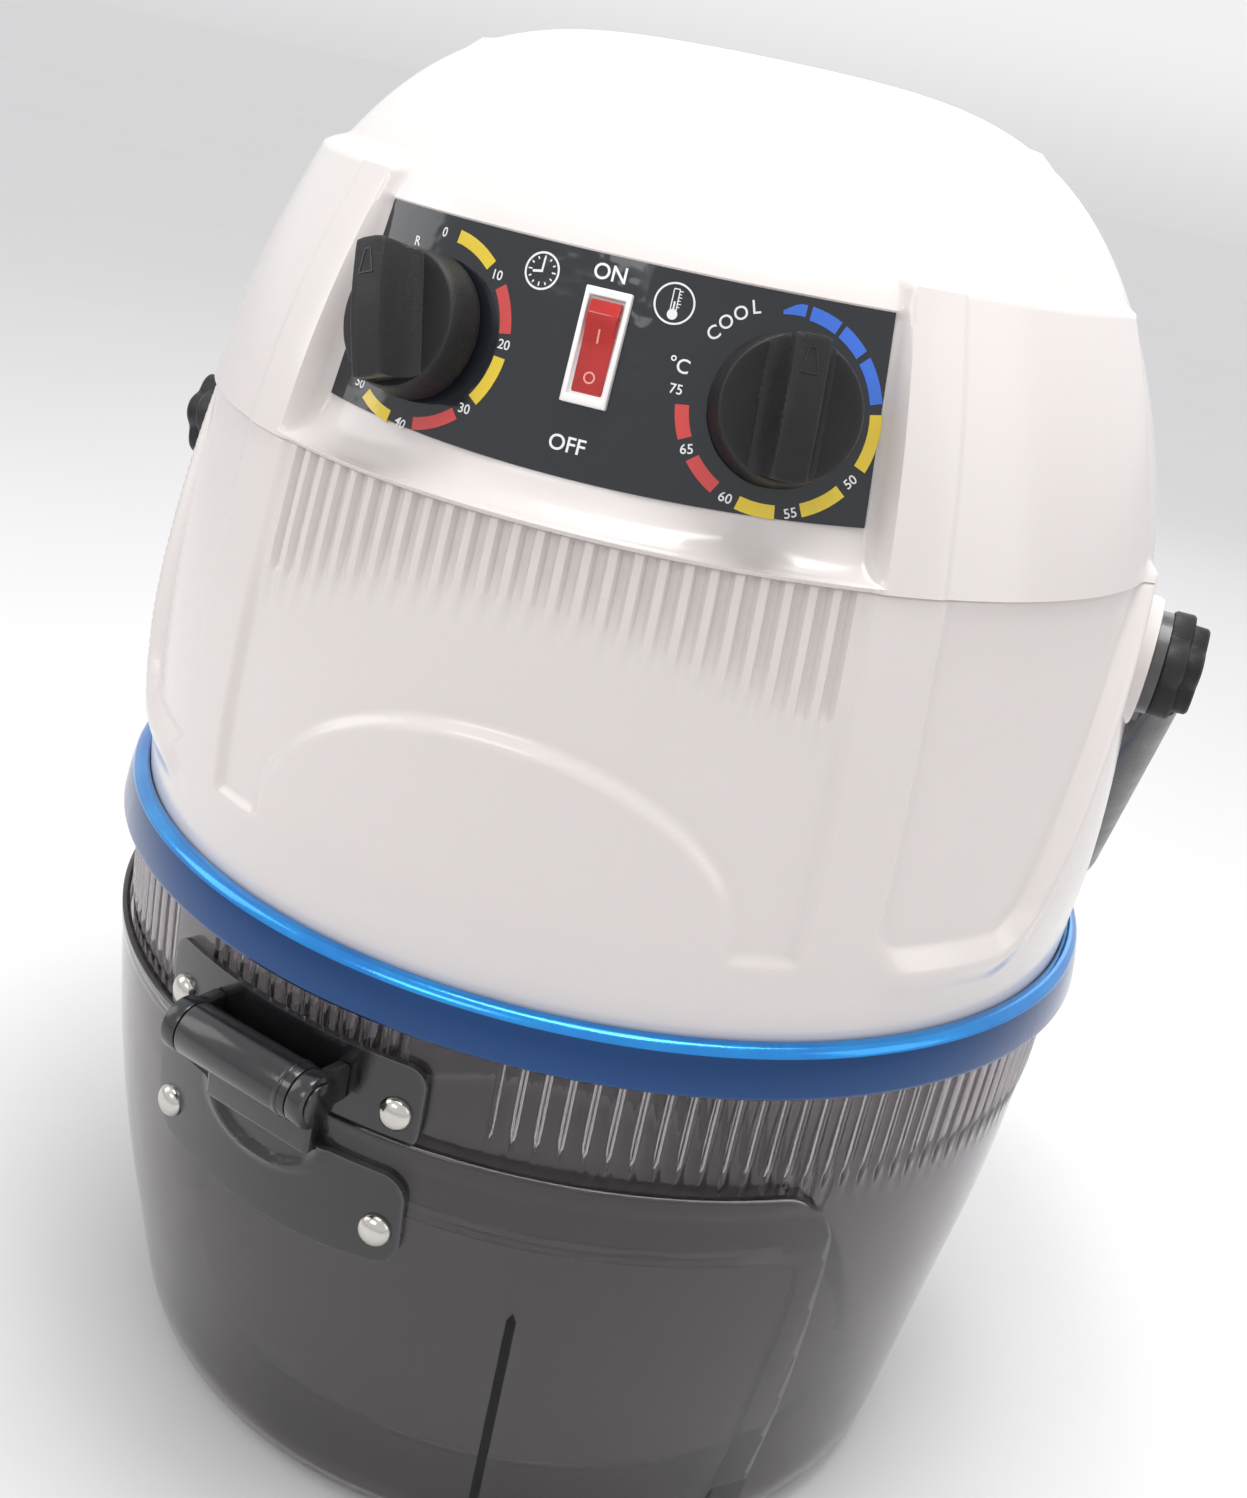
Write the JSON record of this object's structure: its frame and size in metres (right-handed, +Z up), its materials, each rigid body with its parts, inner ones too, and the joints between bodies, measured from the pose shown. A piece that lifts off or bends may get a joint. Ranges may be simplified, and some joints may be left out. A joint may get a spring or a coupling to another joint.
{
  "type": "hood hair dryer head",
  "caption": "Domed salon hood dryer head with timer and heat dials, lit rocker switch, smoked hood with lift-up visor, and a tubular fork it tilts in.",
  "frame": {"origin": "on the stem's axis at the shoulder where the stand's tube ends", "axes": "+Z up along the stem and parallel to the hood's axis, -Y towards the control panel, +X to the right seen from the front"},
  "size_m": [0.4052, 0.4828, 0.5231],
  "materials": {
    "white_casing": "glossy moulded ABS, warm white",
    "printed_panel": "glossy printed film, dark grey",
    "blue_anodised": "satin blue anodising",
    "smoked_clear": "smoked transparent polycarbonate",
    "black_hinge": "glossy black moulding",
    "bright_nickel": "bright nickel plate",
    "turned_steel": "zinc plated",
    "black_knob": "fine spark texture",
    "switch_white": "glossy white",
    "rocker_red": "translucent red",
    "black_enamel": "satin black enamel on steel",
    "pale_inner": "matt light grey",
    "sheet_steel": "galvanised sheet",
    "mica": "pressed mica",
    "heater_wire": "resistance wire coil",
    "control_case": "moulded black",
    "motor_case": "plated can",
    "fan_plastic": "moulded grey",
    "screen_mesh": "woven nylon in a frame",
    "lead_sleeve": "black sleeve"
  },
  "bodies": {
    "fork": {"fork_tube": "black_enamel", "stem_boss": "black_enamel", "stand_stem": "turned_steel"},
    "hood": {"upper_cover": "white_casing", "lower_casing": "white_casing", "trim_ring": "blue_anodised", "control_panel": "printed_panel", "casing_screws": "turned_steel", "timer_body": "control_case", "temperature_body": "control_case", "switch_housing": "switch_white", "hood_shell": "smoked_clear", "hinge_upper_bracket": "black_hinge", "hinge_upper_screws": "bright_nickel", "hinge_pin": "turned_steel", "left_pivot_stud": "turned_steel", "right_pivot_stud": "turned_steel", "air_bowl": "pale_inner", "heater_shroud": "sheet_steel", "baffle_plate": "sheet_steel", "heater_former": "mica", "heater_coil": "heater_wire", "thermal_cutout": "control_case", "motor_mount": "sheet_steel", "motor": "motor_case", "filter_screen": "screen_mesh", "cord_gland": "control_case", "terminal_block": "control_case", "motor_lead": "lead_sleeve"},
    "visor": {"visor": "smoked_clear", "hinge_lower_bracket": "black_hinge", "hinge_lower_screws": "bright_nickel"},
    "fan": {"fan_impeller": "fan_plastic", "motor_shaft": "turned_steel"},
    "timer_dial": {"timer_knob": "black_knob", "timer_shaft": "turned_steel"},
    "temperature_dial": {"temperature_knob": "black_knob", "temperature_shaft": "turned_steel"},
    "rocker": {"rocker": "rocker_red"},
    "left_clamp": {"left_clamp_knob": "black_knob"},
    "right_clamp": {"right_clamp_knob": "black_knob"}
  },
  "joints": [
    {"name": "hood_tilt", "type": "hinge", "parent": "fork", "child": "hood", "pos_m": [0, -0.25662, 0.23033], "axis": [1, 0, 0], "range_deg": [-45, 12]},
    {"name": "visor_lift", "type": "hinge", "parent": "hood", "child": "visor", "pos_m": [-0.06011, -0.44843, 0.07433], "axis": [-0.9542, 0.299, 0], "range_deg": [0, 95]},
    {"name": "fan_spin", "type": "hinge", "parent": "hood", "child": "fan", "pos_m": [0, -0.25662, 0.26933], "axis": [0, 0, 1], "continuous": true},
    {"name": "timer_turn", "type": "hinge", "parent": "hood", "child": "timer_dial", "pos_m": [-0.05526, -0.40287, 0.30933], "axis": [0.3446, 0.9119, -0.223], "range_deg": [0, 290]},
    {"name": "temperature_turn", "type": "hinge", "parent": "hood", "child": "temperature_dial", "pos_m": [0.05526, -0.40287, 0.30933], "axis": [-0.3446, 0.9119, -0.223], "range_deg": [0, 270]},
    {"name": "rocker_tip", "type": "hinge", "parent": "hood", "child": "rocker", "pos_m": [0, -0.41093, 0.31646], "axis": [1, 0, 0], "range_deg": [-16, 0]},
    {"name": "left_clamp_turn", "type": "hinge", "parent": "hood", "child": "left_clamp", "pos_m": [-0.19, -0.25662, 0.23033], "axis": [-1, 0, 0], "range_deg": [0, 360]},
    {"name": "right_clamp_turn", "type": "hinge", "parent": "hood", "child": "right_clamp", "pos_m": [0.19, -0.25662, 0.23033], "axis": [1, 0, 0], "range_deg": [0, 360]}
  ]
}
